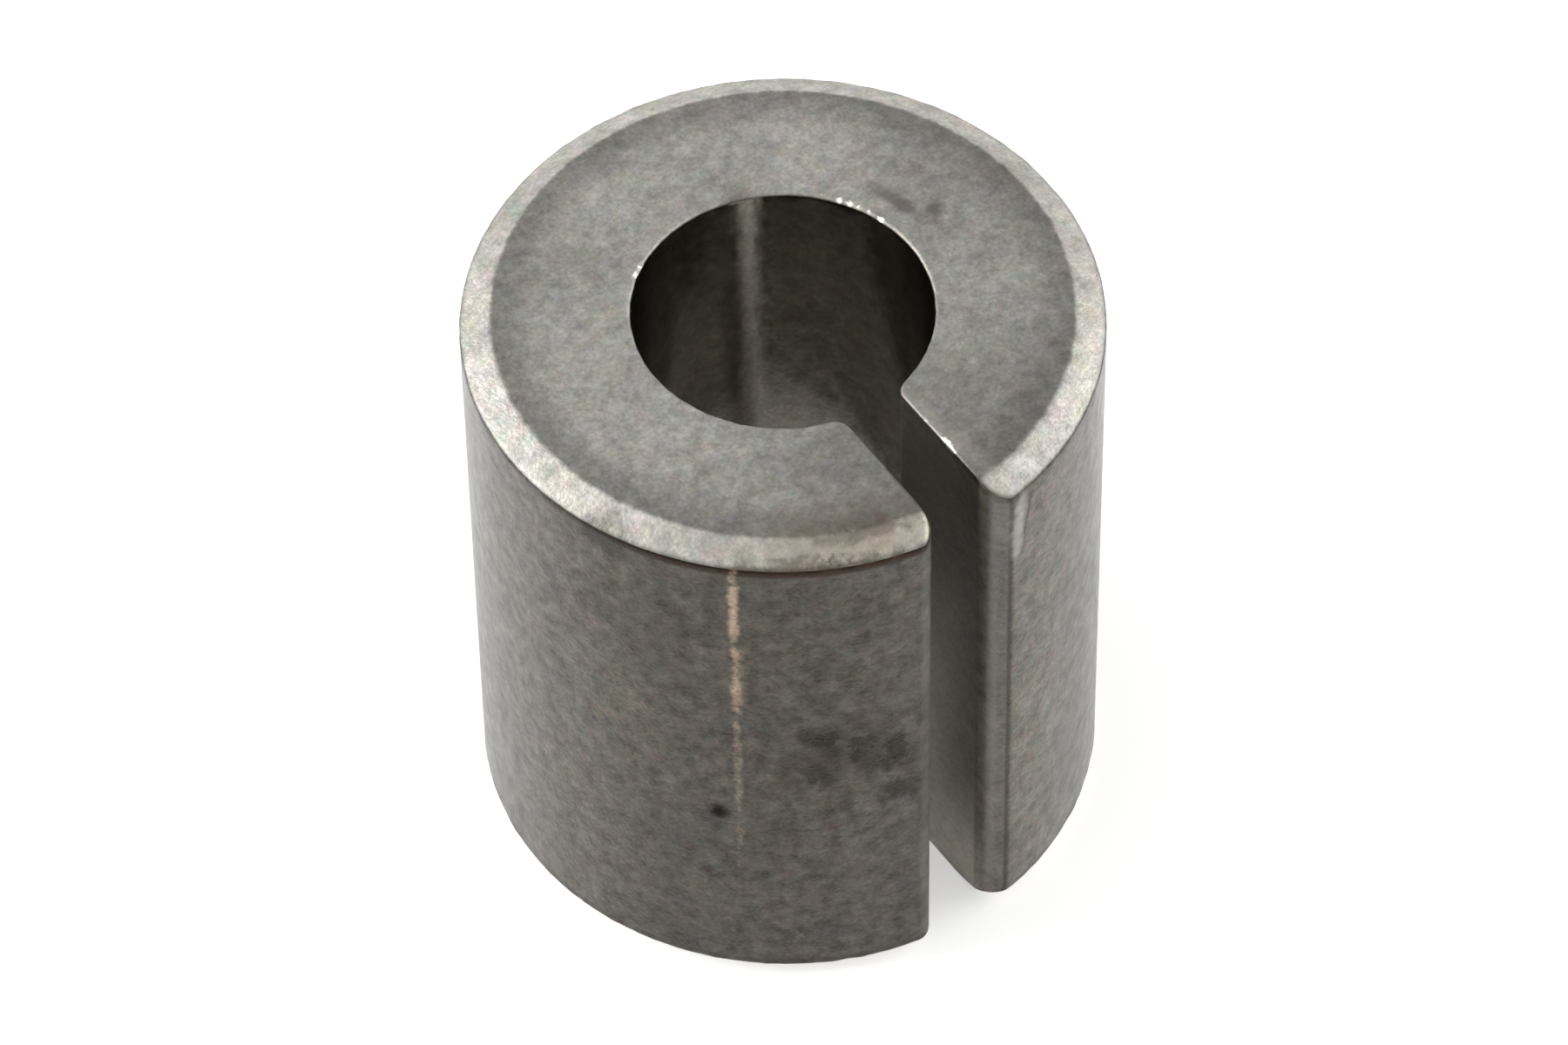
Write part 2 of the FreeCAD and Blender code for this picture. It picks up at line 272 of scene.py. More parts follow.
    # how far each point is from the nearest jaw, the bore, the nearest end and the nearest edge, and its
    # radius: kept for the material
    fromFar = addNode(tree, "ShaderNodeVectorMath", barSize, bar, operation="SUBTRACT")
    nearest = addNode(tree, "ShaderNodeVectorMath", bar, fromFar, operation="MINIMUM")
    toJaw, toWall, toEnd = addNode(tree, "ShaderNodeSeparateXYZ", nearest).node.outputs
    low = addNode(tree, "ShaderNodeMath", toJaw, toWall, operation="MINIMUM")
    high = addNode(tree, "ShaderNodeMath", toJaw, toWall, operation="MAXIMUM")
    middle = addNode(tree, "ShaderNodeMath", high, toEnd, operation="MINIMUM")
    toEdge = addNode(tree, "ShaderNodeMath", low, middle, operation="MAXIMUM")
    geometry = box
    kept = {"toJaw": toJaw, "toBore": depth, "toEnd": toEnd, "toEdge": toEdge, "radius": radius}
    for name, value in kept.items():
        geometry = addNode(tree, "GeometryNodeStoreNamedAttribute",
                           named={"Geometry": geometry, "Name": name, "Value": value},
                           data_type="FLOAT", domain="POINT")
    # known fault: this bend leaves the faces pointing inwards; Flip Faces after it would turn them back
    geometry = addNode(tree, "GeometryNodeSetPosition", geometry, None, bent)

    # burrs and the pit: each moves the skin along its normal, round its own slightly warped place
    here = addNode(tree, "GeometryNodeInputPosition")
    torn = addNode(tree, "ShaderNodeTexNoise", here, named={"Scale": 4.0, "Detail": 2.0}, output=1)
    torn = addNode(tree, "ShaderNodeVectorMath", torn, (0.5, 0.5, 0.5), operation="SUBTRACT")
    torn = addNode(tree, "ShaderNodeVectorMath", torn, (0.2, 0.2, 0.2), here, operation="MULTIPLY_ADD")
    lift = addNode(tree, "ShaderNodeValue")
    bare = addNode(tree, "ShaderNodeValue")
    for spot in markSpots:
        away = addNode(tree, "ShaderNodeVectorMath", torn, spot["at"], operation="DISTANCE", output=1)
        hump = addNode(tree, "ShaderNodeMapRange", away, 0.25 * spot["reach"], spot["reach"], 1.0, 0.0,
                       interpolation_type="SMOOTHSTEP")
        lift = addNode(tree, "ShaderNodeMath", hump, spot["lift"], lift, operation="MULTIPLY_ADD")
        bare = addNode(tree, "ShaderNodeMath", hump, spot["bare"], bare, operation="MULTIPLY_ADD")
    # the powder grain roughens the rest, most at the edges
    crumble = addNode(tree, "ShaderNodeTexNoise", here,
                      named={"Scale": 3.0, "Detail": 3.0, "W": size["Seed"]}, noise_dimensions="4D")
    crumble = addNode(tree, "ShaderNodeMapRange", crumble, 0.35, 0.65, -1.0, 1.0)
    edgeGap = addNode(tree, "GeometryNodeInputNamedAttribute", "toEdge", data_type="FLOAT")
    nearEdge = addNode(tree, "ShaderNodeMapRange", edgeGap, 0.0, 0.3, 0.012, 0.002)
    jawGap = addNode(tree, "GeometryNodeInputNamedAttribute", "toJaw", data_type="FLOAT")
    calm = addNode(tree, "ShaderNodeMapRange", jawGap, 0.0, 0.4, 0.2, 1.0)      # cleaner along the slit
    nearEdge = addNode(tree, "ShaderNodeMath", nearEdge, calm, operation="MULTIPLY")
    lift = addNode(tree, "ShaderNodeMath", crumble, nearEdge, lift, operation="MULTIPLY_ADD")
    geometry = addNode(tree, "GeometryNodeStoreNamedAttribute",
                       named={"Geometry": geometry, "Name": "bare", "Value": bare},
                       data_type="FLOAT", domain="POINT")
    outward = addNode(tree, "GeometryNodeInputNormal")
    offset = addNode(tree, "ShaderNodeVectorMath", outward, named={"Scale": lift}, operation="SCALE")
    geometry = addNode(tree, "GeometryNodeSetPosition", named={"Geometry": geometry, "Offset": offset})
    geometry = addNode(tree, "GeometryNodeTransform", named={"Geometry": geometry, "Scale": (mm, mm, mm)})
    geometry = addNode(tree, "GeometryNodeSetShadeSmooth", named={"Geometry": geometry})
    geometry = addNode(tree, "GeometryNodeRealizeInstances", geometry)
    geometry = addNode(tree, "GeometryNodeSetMaterial",
                       named={"Geometry": geometry, "Material": size["Steel"]})
    addNode(tree, "NodeGroupOutput", geometry)
    return tree


def makeRing(steel):
    tree = bentBarTree(steel)
    piece = bpy.data.objects.new("splitRing", bpy.data.meshes.new("splitRing"))
    bpy.context.scene.collection.objects.link(piece)
    shape = piece.modifiers.new("bentBar", "NODES")
    shape.node_group = tree
    inputs = {
        "Outer radius": ring["outerRadius"], "Bore radius": ring["boreRadius"], "Length": ring["length"],
        "Slit width": ring["slitWidth"], "Chamfer width": ring["chamferWidth"],
        "Chamfer height": ring["chamferHeight"], "Mouth corner": ring["mouthCorner"],
        "Mouth spread": ring["mouthSpread"], "Bore corner": ring["boreCorner"],
        "Edge round": ring["edgeRound"], "Edge wear": ring["edgeWear"],
        "Crease softness": ring["creaseSoftness"], "Seed": ring["seed"], "Rows around": ring["rowsAround"],
        "Rows across": ring["rowsAcross"], "Rows up": ring["rowsUp"], "Steel": steel,
    }
    for socket in tree.interface.items_tree:
        if socket.in_out == "INPUT":
            shape[socket.identifier] = inputs[socket.name]
    bpy.context.view_layer.update()
    evaluated = piece.evaluated_get(bpy.context.evaluated_depsgraph_get())
    mesh = bpy.data.meshes.new_from_object(evaluated)
    piece.modifiers.clear()
    piece.data = mesh
    triangles = sum(len(p.vertices) - 2 for p in mesh.polygons)
    print("ring:", len(mesh.vertices), "points,", triangles, "triangles")
    return piece


# Steam-treated sintered steel: a dull grey oxide skin over a fine grain, dark like slate, with a low
# sheen that brightens where the surface turns away.

steelLook = {
    "wall": "373127",            # outside, oxide skin
    "wallPaintedSheen": "4E473A",        # outside, painted sheen on the left, where it turns away
    "wallPaintedSheenPale": "5B5446",        # outside beside the slit's right edge, painted sheen, paler still
    "endFace": "97958F",         # end faces, pressed flat, thinner skin
    "endRimShade": "7C7A75",          # painted shade on the end faces' outer few tenths
    "chamfer": "B1AEA7",         # end chamfers, skin rubbed off, and the wedge right of the slit
    "bore": "87837A",            # bore, burnished: dark only because little light gets in
    "jaw": "7B7569",             # slit faces
    "jawTop": "A39E96",          # the right slit face high up, rubbed lighter
    "mouth": "67645F",           # round corners of the slit's mouth
    "bareMetalGlint": "E9E5DA",       # burrs and knocked edges: bare metal, painted nearly white as a glint
    "stain": "8E7F6B",           # brown stain on the front of the chamfer
    "rust": "33271E",            # browner, darker places, and the line beside each chamfer
    "copper": "A8927C",          # the rubbed line down the outside
    "sootAndShade": "2A2620",            # blotches, and painted shade in shaded places and along the crease right of the slit
    "pit": "0D0B09",             # the dark spot low on the front, a hole in the real one
    "oldOil": "1B170F",          # dried oil in the grain
    "oilFilm": 0.85,             # on the outside
    "grain": 0.11,               # powder grain, mm, drawn coarser than the real 0.05 so that it shows
    "mottle": 0.45,              # cloudy patches of the skin, mm
    "patch": 2.6,                # broad drift of tone, mm
    "temper": 0.6,               # faint pink and green of the oxide, mm
    "relief": 0.014,             # how deep the grain looks, mm
    "lineFrom": (-4.9, -6.9, 17.5),     # where the line beside the chamfer is darkest, mm
}

# how rough each face is
roughness = {"wall": 0.36, "bore": 0.15, "jaw": 0.34, "mouth": 0.55, "end": 0.48, "boreEdge": 0.55}

# how far each layer of cloudiness darkens and lightens the skin: on the outside, on the other faces
unevenness = {"patch": (0.2, 0.13), "mottle": (0.33, 0.24), "grain": (0.5, 0.17)}

# Painted sheen where the outside turns away to the left and to the right, and the marks on the skin. Each is
# a soft
# ellipsoid: angle from the slit in degrees, radius and height of its middle, half sizes round the ring,
# along the radius and up (mm), lean in degrees, colour, how strong, and how far the grain breaks it up.
paintedSheenPatches = [
    {"angle": -84.0, "radius": 8.5, "height": 9.0, "half": (4.6, 3.0, 20.0), "lean": 0.0,
     "colour": "wallPaintedSheen", "strength": 0.7, "breakUp": 0.3},
    {"angle": 18.0, "radius": 8.5, "height": 9.0, "half": (2.4, 1.5, 20.0), "lean": 0.0,
     "colour": "wallPaintedSheenPale", "strength": 1.0, "breakUp": 0.2},
]
skinMarks = [
    {"angle": -43.7, "radius": 8.5, "height": 15.9, "half": (0.19, 1.0, 2.1), "lean": 0.0,
     "colour": "copper", "strength": 0.95, "breakUp": 0.6},
    {"angle": -43.2, "radius": 8.5, "height": 13.0, "half": (0.26, 1.0, 1.9), "lean": 0.0,
     "colour": "copper", "strength": 0.28, "breakUp": 0.8},
    {"angle": -43.4, "radius": 8.5, "height": 12.9, "half": (0.14, 1.0, 1.5), "lean": 0.0,
     "colour": "copper", "strength": 0.65, "breakUp": 1.0},
    {"angle": -43.4, "radius": 8.5, "height": 9.3, "half": (0.13, 1.0, 4.4), "lean": 0.0,
     "colour": "copper", "strength": 0.36, "breakUp": 1.0},
    {"angle": -47.1, "radius": 8.5, "height": 7.11, "half": (0.42, 0.6, 0.48), "lean": 0.0,
     "colour": "pit", "strength": 1.0, "breakUp": 0.0},
    {"angle": -46.1, "radius": 8.5, "height": 7.3, "half": (0.45, 0.5, 0.5), "lean": 0.0,
     "colour": "sootAndShade", "strength": 0.35, "breakUp": 0.4},
    {"angle": -23.0, "radius": 8.5, "height": 9.6, "half": (3.2, 1.5, 2.2), "lean": 0.0,
     "colour": "rust", "strength": 0.5, "breakUp": 0.5},
    {"angle": -59.1, "radius": 8.5, "height": 14.0, "half": (2.6, 1.0, 2.6), "lean": 0.0,
     "colour": "sootAndShade", "strength": 0.2, "breakUp": 0.8},
    {"angle": -68.5, "radius": 8.5, "height": 17.25, "half": (1.1, 1.0, 0.8), "lean": 0.0,
     "colour": "oldOil", "strength": 0.7, "breakUp": 0.5},
    {"angle": -22.0, "radius": 8.1, "height": 17.82, "half": (4.1, 2.2, 0.34), "lean": 0.0,
     "colour": "stain", "strength": 0.5, "breakUp": 0.3},
    {"angle": -28.0, "radius": 8.45, "height": 17.62, "half": (4.6, 0.7, 0.16), "lean": 0.0,
     "colour": "rust", "strength": 0.8, "breakUp": 0.8},
    {"angle": -19.0, "radius": 7.8, "height": 17.93, "half": (1.9, 0.6, 0.11), "lean": 0.0,
     "colour": "rust", "strength": 0.5, "breakUp": 0.8},
    # the top end face darker towards its front and towards its right side
    {"angle": 2.0, "radius": 6.0, "height": 18.0, "half": (7.5, 4.5, 0.16), "lean": 0.0,
     "colour": "sootAndShade", "strength": 0.36, "breakUp": 0.0},
    {"angle": 95.0, "radius": 6.2, "height": 18.0, "half": (5.0, 3.5, 0.16), "lean": 0.0,
     "colour": "sootAndShade", "strength": 0.2, "breakUp": 0.0},
    {"angle": 7.2, "radius": 8.14, "height": 9.0, "half": (0.3, 0.22, 20.0), "lean": 0.0,
     "colour": "jawTop", "strength": 0.2, "breakUp": 0.0},
    {"angle": 106.0, "radius": 4.8, "height": 18.0, "half": (1.3, 0.27, 0.5), "lean": 0.0,
     "colour": "rust", "strength": 0.55, "breakUp": 0.4},
    {"angle": 95.7, "radius": 5.23, "height": 18.0, "half": (0.42, 0.4, 0.5), "lean": 0.0,
     "colour": "rust", "strength": 0.55, "breakUp": 0.3},
    {"angle": 11.2, "radius": 8.5, "height": 16.2, "half": (0.28, 1.0, 1.8), "lean": 5.0,
     "colour": "chamfer", "strength": 0.6, "breakUp": 0.2},
    {"angle": 13.4, "radius": 8.5, "height": 16.4, "half": (0.09, 1.0, 1.5), "lean": 9.0,
     "colour": "sootAndShade", "strength": 0.5, "breakUp": 0.3},
    {"angle": 9.0, "radius": 5.6, "height": 16.6, "half": (0.6, 3.4, 2.8), "lean": 0.0,
     "colour": "jawTop", "strength": 0.6, "breakUp": 0.2},
    # painted shade: the bore's far wall darker where a line of reflected light runs, which dims it
    {"angle": 163.0, "radius": 4.0, "height": 9.0, "half": (0.7, 1.0, 14.0), "lean": 0.0,
     "colour": "rust", "strength": 0.7, "breakUp": 0.0},
    {"angle": -8.8, "radius": 8.2, "height": 9.0, "half": (0.5, 0.9, 10.0), "lean": 0.0,
     "colour": "sootAndShade", "strength": 0.3, "breakUp": 0.3},
]

# old oil dried in the grain, low on the front: angle, height, half width, half height, how strong
for angle, height, across, up, strength in (
        (-30.9, 10.6, 0.25, 0.4, 0.45), (-28.1, 10.4, 0.28, 0.25, 0.8), (-26.6, 9.9, 0.18, 0.35, 0.5),
        (-22.3, 10.0, 0.32, 0.3, 0.6), (-22.7, 9.4, 0.12, 0.2, 0.8), (-15.2, 9.4, 0.3, 0.55, 0.65),
        (-16.7, 8.9, 0.15, 0.4, 0.6), (-19.9, 9.1, 0.2, 0.2, 0.5), (-29.1, 8.8, 0.28, 0.4, 0.6),
        (-15.0, 7.7, 0.32, 0.35, 0.6), (-23.5, 7.4, 0.2, 0.3, 0.4)):
    skinMarks.append({"angle": angle, "radius": 8.5, "height": height, "half": (2.2 * across, 1.0, 2.1 * up),
                      "lean": 0.0, "colour": "oldOil", "strength": min(1.0, 1.5 * strength), "breakUp": 0.7})


def sinteredSteel():
    steel = bpy.data.materials.new("steamTreatedSinteredSteel")
    steel.use_nodes = True
    tree = steel.node_tree
    tree.nodes.clear()
    colour = {k: hexColour(v) for k, v in steelLook.items() if isinstance(v, str)}
    coords = addNode(tree, "ShaderNodeTexCoord", output=3)
    here = addNode(tree, "ShaderNodeMapping", coords, named={"Scale": (1 / mm, 1 / mm, 1 / mm)})
    x, y = addNode(tree, "ShaderNodeSeparateXYZ", here).node.outputs[:2]
    kept = {}
    for name in ("toJaw", "toBore", "toEnd", "toEdge", "radius", "bare"):
        kept[name] = addNode(tree, "ShaderNodeAttribute", attribute_name=name, output=2)

    # which face a point is on, blended over the rounded edges
    onEnd = addNode(tree, "ShaderNodeMapRange", kept["toEnd"], 0.0, 0.07, 1.0, 0.0)
    onJaw = addNode(tree, "ShaderNodeMapRange", kept["toJaw"], 0.0, 0.07, 1.0, 0.0)
    onBore = addNode(tree, "ShaderNodeMapRange", kept["toBore"], 0.0, 0.09, 1.0, 0.0)
    onMouth = addNode(tree, "ShaderNodeMapRange", kept["radius"], ring["outerRadius"] - 0.66,
                      ring["outerRadius"] - 0.5, 0.0, 1.0)
    inner = addNode(tree, "ShaderNodeMath", onBore, onJaw, operation="MAXIMUM")
    inner = addNode(tree, "ShaderNodeMath", inner, onEnd, operation="MAXIMUM")      # 0 on the outside only
    flat = ring["outerRadius"] - ring["chamferWidth"]

    # cloudiness at three sizes
    cloud = []
    for size, detail in (("grain", 2.0), ("mottle", 5.0), ("patch", 3.0)):
        noise = addNode(tree, "ShaderNodeTexNoise", here,
                        named={"Scale": 1 / steelLook[size], "Detail": detail, "Roughness": 0.62})
        cloud.append(addNode(tree, "ShaderNodeMapRange", noise, 0.3, 0.7, 0.0, 1.0))
    grain, mottle, patch = cloud

    # marks have ragged outlines
    torn = addNode(tree, "ShaderNodeTexNoise", here, named={"Scale": 2.5, "Detail": 4.0}, output=1)
    torn = addNode(tree, "ShaderNodeVectorMath", torn, (0.5, 0.5, 0.5), operation="SUBTRACT")
    torn = addNode(tree, "ShaderNodeVectorMath", torn, (0.2, 0.2, 0.2), here, operation="MULTIPLY_ADD")
    frayed = addNode(tree, "ShaderNodeTexNoise", here, named={"Scale": 2.2, "Detail": 6.0, "Roughness": 0.7})
    frayed = addNode(tree, "ShaderNodeMath", frayed, 0.5, operation="SUBTRACT")
    speckle = addNode(tree, "ShaderNodeMath", mottle, grain, operation="MULTIPLY")

    def markShape(mark):
        angle = math.radians(mark["angle"])
        middle = (mark["radius"] * math.sin(angle), -mark["radius"] * math.cos(angle), mark["height"])
        inside = addNode(tree, "ShaderNodeMapping", torn,
                         named={"Location": middle, "Rotation": (0, math.radians(mark["lean"]), angle),
                                "Scale": mark["half"]}, vector_type="TEXTURE")
        inside = addNode(tree, "ShaderNodeVectorMath", inside, operation="LENGTH", output=1)
        inside = addNode(tree, "ShaderNodeMath", frayed, 4.0 * mark["breakUp"], inside,
                         operation="MULTIPLY_ADD")
        inside = addNode(tree, "ShaderNodeMapRange", inside, 0.2, 1.1, mark["strength"], 0.0,
                         interpolation_type="SMOOTHSTEP")
        broken = addNode(tree, "ShaderNodeMapRange", speckle, 0.0, 0.5, 1 - 0.7 * mark["breakUp"], 1.0)
        return addNode(tree, "ShaderNodeMath", inside, broken, operation="MULTIPLY")

    # the end faces darken to a rim of painted shade, then turn into the rubbed chamfer
    rimShade = addNode(tree, "ShaderNodeMapRange", kept["radius"], flat - 1.4, flat - 0.1, 0.0, 1.0,
                      interpolation_type="SMOOTHSTEP")
    ragged = addNode(tree, "ShaderNodeMath", mottle, 0.06, kept["radius"], operation="MULTIPLY_ADD")
    onChamfer = addNode(tree, "ShaderNodeMapRange", ragged, flat - 0.01, flat + 0.13, 0.0, 1.0,
                        interpolation_type="SMOOTHSTEP")
    endTone = addNode(tree, "ShaderNodeMix", named={0: rimShade, 6: colour["endFace"], 7: colour["endRimShade"]},
                      data_type="RGBA", output=2)
    endTone = addNode(tree, "ShaderNodeMix", named={0: onChamfer, 6: endTone, 7: colour["chamfer"]},
                      data_type="RGBA", output=2)
    jawTone = addNode(tree, "ShaderNodeMix", named={0: onMouth, 6: colour["jaw"], 7: colour["mouth"]},
                      data_type="RGBA", output=2)
    tone = colour["wall"]
    for mark in paintedSheenPatches:
        tone = addNode(tree, "ShaderNodeMix", named={0: markShape(mark), 6: tone, 7: colour[mark["colour"]]},
                       data_type="RGBA", output=2)
    tone = addNode(tree, "ShaderNodeMix", named={0: onBore, 6: tone, 7: colour["bore"]},
                   data_type="RGBA", output=2)
    tone = addNode(tree, "ShaderNodeMix", named={0: onJaw, 6: tone, 7: jawTone}, data_type="RGBA", output=2)
    tone = addNode(tree, "ShaderNodeMix", named={0: onEnd, 6: tone, 7: endTone}, data_type="RGBA", output=2)

    # the skin's unevenness: darker and lighter round the face's own tone, most on the outside
    for layer, (most, least) in zip((patch, mottle, grain), unevenness.values()):
        swing = addNode(tree, "ShaderNodeMapRange", inner, 0.0, 1.0, most, least)
        low = addNode(tree, "ShaderNodeMath", 1.0, swing, operation="SUBTRACT")
        high = addNode(tree, "ShaderNodeMath", 1.0, swing, operation="ADD")
        shade = addNode(tree, "ShaderNodeMapRange", layer, 0.0, 1.0, low, high)
        tone = addNode(tree, "ShaderNodeVectorMath", tone, named={"Scale": shade}, operation="SCALE")
    temper = addNode(tree, "ShaderNodeTexNoise", here,
                     named={"Scale": 1 / steelLook["temper"], "Detail": 4.0, "Roughness": 0.6}, output=1)
    temper = addNode(tree, "ShaderNodeVectorMath", temper, (0.5, 0.5, 0.5), operation="SUBTRACT")
    swing = addNode(tree, "ShaderNodeMapRange", inner, 0.0, 1.0, 1.3, 0.4)
    temper = addNode(tree, "ShaderNodeVectorMath", temper, named={"Scale": swing}, operation="SCALE")
    temper = addNode(tree, "ShaderNodeVectorMath", temper, (1.0, 0.6, 0.9), (1.0, 1.0, 1.0),
                     operation="MULTIPLY_ADD")
    tone = addNode(tree, "ShaderNodeVectorMath", tone, temper, operation="MULTIPLY")

    # a dark line round the outside beside each chamfer, strongest at the upper front left
    line = addNode(tree, "ShaderNodeMapRange", kept["toEnd"], 0.18, 0.37, 1.0, 0.0,
                   interpolation_type="SMOOTHSTEP")
    above = addNode(tree, "ShaderNodeMath", kept["toEnd"], 0.01, operation="GREATER_THAN")
    outside = addNode(tree, "ShaderNodeMath", kept["toBore"], 2.0, operation="GREATER_THAN")
    front = addNode(tree, "ShaderNodeVectorMath", here, steelLook["lineFrom"], operation="DISTANCE",
                    output=1)
    front = addNode(tree, "ShaderNodeMapRange", front, 3.5, 7.0, 0.95, 0.35)
    line = addNode(tree, "ShaderNodeMath", line, above, operation="MULTIPLY")
    line = addNode(tree, "ShaderNodeMath", line, outside, operation="MULTIPLY")
    line = addNode(tree, "ShaderNodeMath", line, front, operation="MULTIPLY")
    tone = addNode(tree, "ShaderNodeMix", named={0: line, 6: tone, 7: colour["rust"]},
                   data_type="RGBA", output=2)

    # painted shade on the chamfers' rounded outer edges, which dims their highlight
    atRim = addNode(tree, "ShaderNodeMapRange", kept["toEnd"], 0.1, 0.3, 1.0, 0.0)
    atRim = addNode(tree, "ShaderNodeMath", atRim, outside, operation="MULTIPLY")
    edgeShade = addNode(tree, "ShaderNodeMapRange", kept["toEdge"], 0.03, 0.14, 0.5, 1.0)
    edgeShade = addNode(tree, "ShaderNodeMix", named={0: atRim, 2: 1.0, 3: edgeShade})
    tone = addNode(tree, "ShaderNodeVectorMath", tone, named={"Scale": edgeShade}, operation="SCALE")

    # painted shade: a soft dark line where the right jaw's round corner meets the outside
    rim = ring["slitWidth"] / 2 + ring["mouthSpread"]
    creaseShade = addNode(tree, "ShaderNodeMath", mottle, 0.03, x, operation="MULTIPLY_ADD")
    creaseShade = addNode(tree, "ShaderNodeMath", creaseShade, rim, operation="SUBTRACT")
    creaseShade = addNode(tree, "ShaderNodeMath", creaseShade, operation="ABSOLUTE")
    creaseShade = addNode(tree, "ShaderNodeMapRange", creaseShade, 0.02, 0.11, 0.5, 0.0, interpolation_type="SMOOTHSTEP")
    creaseShade = addNode(tree, "ShaderNodeMath", creaseShade, outside, operation="MULTIPLY")
    notEnd = addNode(tree, "ShaderNodeMath", kept["toEnd"], 0.05, operation="GREATER_THAN")
    creaseShade = addNode(tree, "ShaderNodeMath", creaseShade, notEnd, operation="MULTIPLY")
    frontSide = addNode(tree, "ShaderNodeMath", y, 0.0, operation="LESS_THAN")
    creaseShade = addNode(tree, "ShaderNodeMath", creaseShade, frontSide, operation="MULTIPLY")
    tone = addNode(tree, "ShaderNodeMix", named={0: creaseShade, 6: tone, 7: colour["sootAndShade"]},
                   data_type="RGBA", output=2)

    # marks that take the oil film off: the dark line, the dark marks, and the painted shade of the crease
    dirtAndShade = addNode(tree, "ShaderNodeMath", line, creaseShade, operation="MAXIMUM")
    for mark in skinMarks:
        inside = markShape(mark)
        tone = addNode(tree, "ShaderNodeMix", named={0: inside, 6: tone, 7: colour[mark["colour"]]},
                       data_type="RGBA", output=2)
        if mark["colour"] in ("sootAndShade", "rust", "pit", "oldOil"):
            dirtAndShade = addNode(tree, "ShaderNodeMath", dirtAndShade, inside, operation="MAXIMUM")

    # bare metal on the burrs, painted nearly white as a glint
    bare = addNode(tree, "ShaderNodeMath", grain, 0.4, kept["bare"], operation="MULTIPLY_ADD")
    bare = addNode(tree, "ShaderNodeMapRange", bare, 0.4, 0.8, 0.0, 1.0)
    tone = addNode(tree, "ShaderNodeMix", named={0: bare, 6: tone, 7: colour["bareMetalGlint"]},
                   data_type="RGBA", output=2)

    rough = addNode(tree, "ShaderNodeMix", named={0: onBore, 2: roughness["wall"], 3: roughness["bore"]})
    atMouth = addNode(tree, "ShaderNodeMapRange", kept["radius"], ring["outerRadius"] - 0.9,
                      ring["outerRadius"] - 0.75, roughness["jaw"], roughness["mouth"])
    rough = addNode(tree, "ShaderNodeMix", named={0: onJaw, 2: rough, 3: atMouth})
    rough = addNode(tree, "ShaderNodeMix", named={0: onEnd, 2: rough, 3: roughness["end"]})
    rough = addNode(tree, "ShaderNodeMath", mottle, 0.05, rough, operation="MULTIPLY_ADD")
    # edges are duller on the bore's side of the wall
    dulled = addNode(tree, "ShaderNodeMapRange", kept["toEdge"], 0.05, 0.15, roughness["boreEdge"], 0.0)
    dulled = addNode(tree, "ShaderNodeMix", named={0: outside, 2: dulled, 3: 0.0})
    rough = addNode(tree, "ShaderNodeMath", rough, dulled, operation="MAXIMUM")

    # relief of the grain: deepest on the end faces, less on the outside and the rubbed chamfers, faint
    # on the slit faces and faintest in the bore
    relief = addNode(tree, "ShaderNodeMath", mottle, 1.0, grain, operation="MULTIPLY_ADD")
    gentle = addNode(tree, "ShaderNodeMapRange", onChamfer, 0.0, 1.0, 0.7, 0.4)
    gentle = addNode(tree, "ShaderNodeMix", named={0: onEnd, 2: 0.5, 3: gentle})
    gentle = addNode(tree, "ShaderNodeMix", named={0: onJaw, 2: gentle, 3: 0.12})
    relief = addNode(tree, "ShaderNodeMath", relief, gentle, operation="MULTIPLY")
    gentle = addNode(tree, "ShaderNodeMapRange", onBore, 0.0, 1.0, 1.0, 0.06)
    bump = addNode(tree, "ShaderNodeBump",
                   named={"Strength": gentle, "Distance": steelLook["relief"] * mm, "Height": relief})
    # a thin film of oil, which makes the outside paler where it turns away
    film = addNode(tree, "ShaderNodeMapRange", inner, 0.0, 1.0, steelLook["oilFilm"], 0.0)
    patchy = addNode(tree, "ShaderNodeMapRange", mottle, 0.0, 1.0, 0.3, 1.05)
    film = addNode(tree, "ShaderNodeMath", film, patchy, operation="MULTIPLY")
    clean = addNode(tree, "ShaderNodeMath", 1.0, dirtAndShade, operation="SUBTRACT")
    film = addNode(tree, "ShaderNodeMath", film, clean, operation="MULTIPLY")
    shader = addNode(tree, "ShaderNodeBsdfPrincipled",
                     named={"Base Color": tone, "Metallic": 1.0, "Roughness": rough, "Normal": bump,
                            "Coat Weight": film, "Coat Roughness": 0.3})
    addNode(tree, "ShaderNodeOutputMaterial", shader)
    return steel


steel = sinteredSteel()
splitRing = makeRing(steel)
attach(splitRing, "root")
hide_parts("split_bushing")
print("ring placed")


# Plain pale studio: a white floor that keeps the ring's soft shadow, and a white surround.

studio = {
    "floorSize": 1.2,            # metres
    "floorColour": "F2F2F0",
    "floorGlow": 0.45,           # added for the camera, so that the floor ends up white
    "ambient": 0.6,              # light from the surround on dull surfaces
    "lamps": [                   # place in metres, size in metres, power in watts
        {"name": "leftBox", "at": (-0.27, 0.22, 0.14), "size": 0.26, "power": 1.45},
        {"name": "rightBox", "at": (0.33, -0.13, 0.14), "size": 0.26, "power": 0.75},
    ],
    "lampAim": (0.0, 0.0, 0.01),
}


def whiteForView(tree):
    # 1 for rays from the camera and for what shows in metal, 0 for the light itself
    path = addNode(tree, "ShaderNodeLightPath").node.outputs
    seen = addNode(tree, "ShaderNodeMath", path["Is Camera Ray"], path["Is Glossy Ray"], operation="MAXIMUM")
    return addNode(tree, "ShaderNodeMath", seen, path["Is Transmission Ray"], operation="MAXIMUM")


